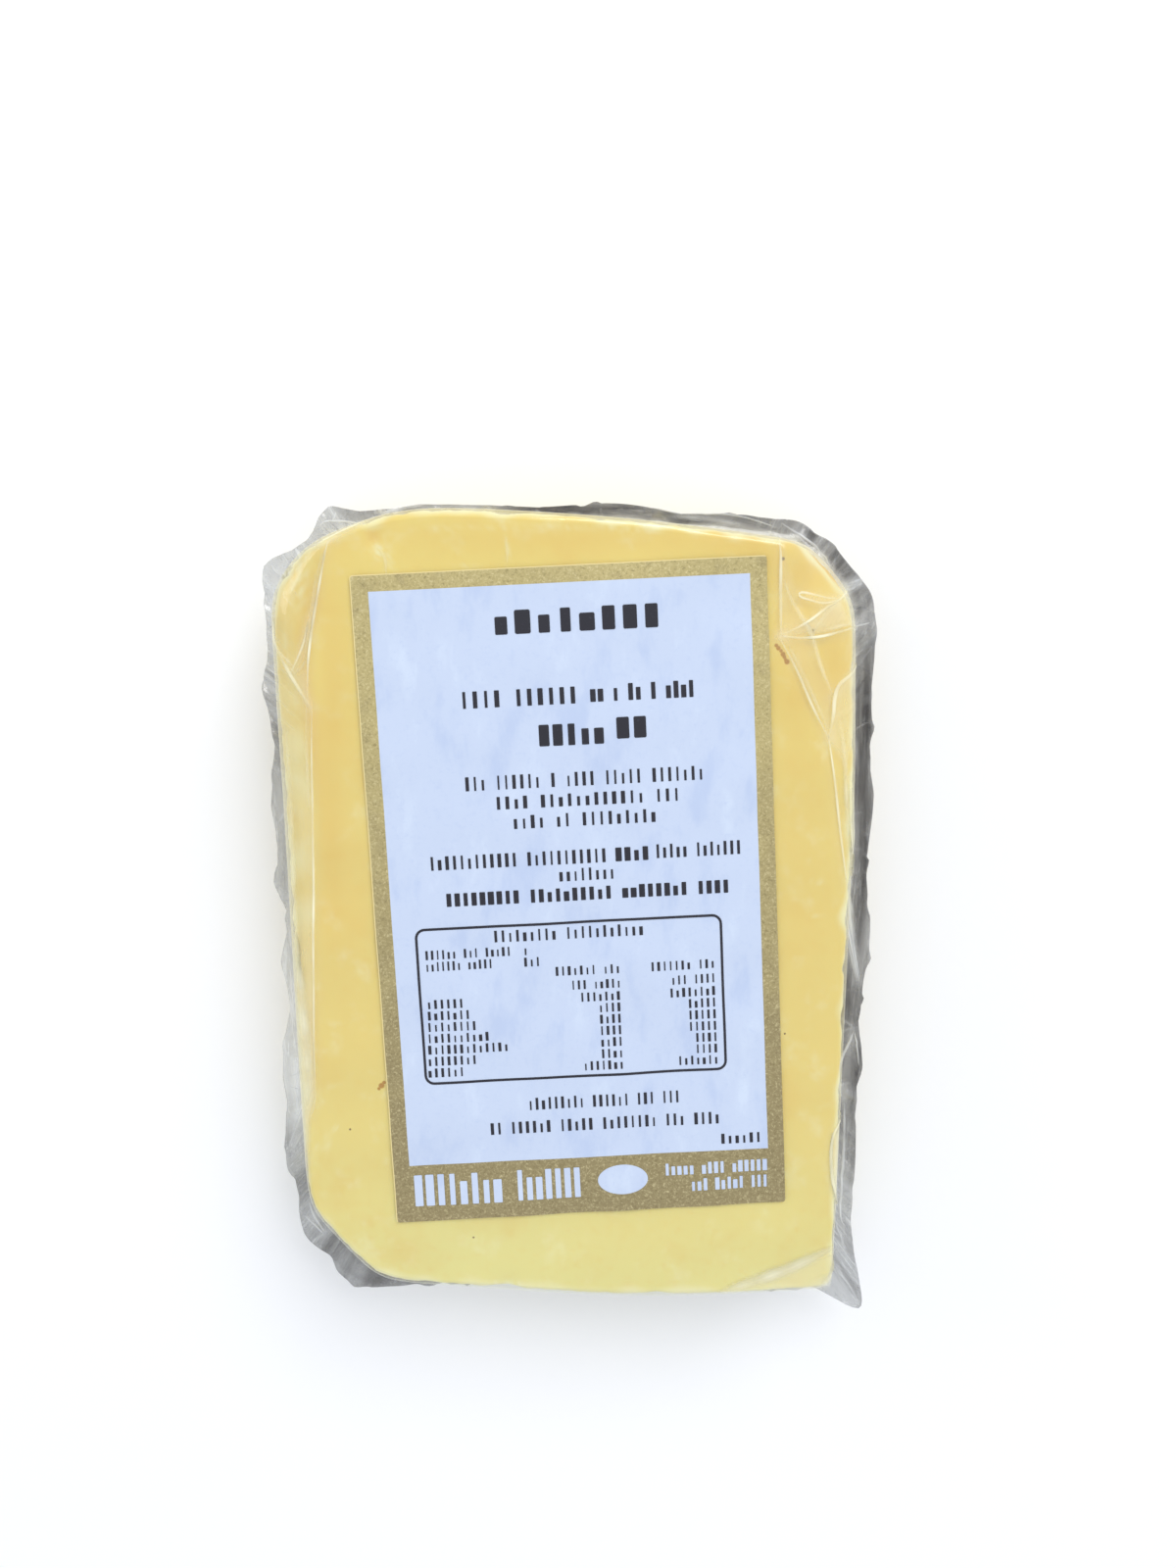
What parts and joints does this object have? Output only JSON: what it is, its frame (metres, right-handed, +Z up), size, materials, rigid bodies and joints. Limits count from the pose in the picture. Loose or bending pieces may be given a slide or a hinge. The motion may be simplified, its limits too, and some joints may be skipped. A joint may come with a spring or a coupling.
{
  "type": "vacuum-packed cheese slab",
  "caption": "Slab of pale yellow hard cheese sealed in a clear vacuum bag with a thin seam skirt, a printed paper label stuck on its upper face.",
  "frame": {"origin": "middle of the pack's bounding box seen from above, on the flat underside that the pack lies on", "axes": "+Y along the slab's length, towards the label's upper edge; +X across the slab, to the label reader's right; +Z up, out of the labelled face"},
  "size_m": [0.0978, 0.135, 0.0247],
  "materials": {
    "sealed_cheese": "pale yellow hard cheese seen through clear glossy film",
    "label_paper": "matte bluish-white label paper with a dull gold printed border"
  },
  "bodies": {
    "root": {"sealed_bag": "sealed_cheese", "label": "label_paper"}
  },
  "joints": []
}
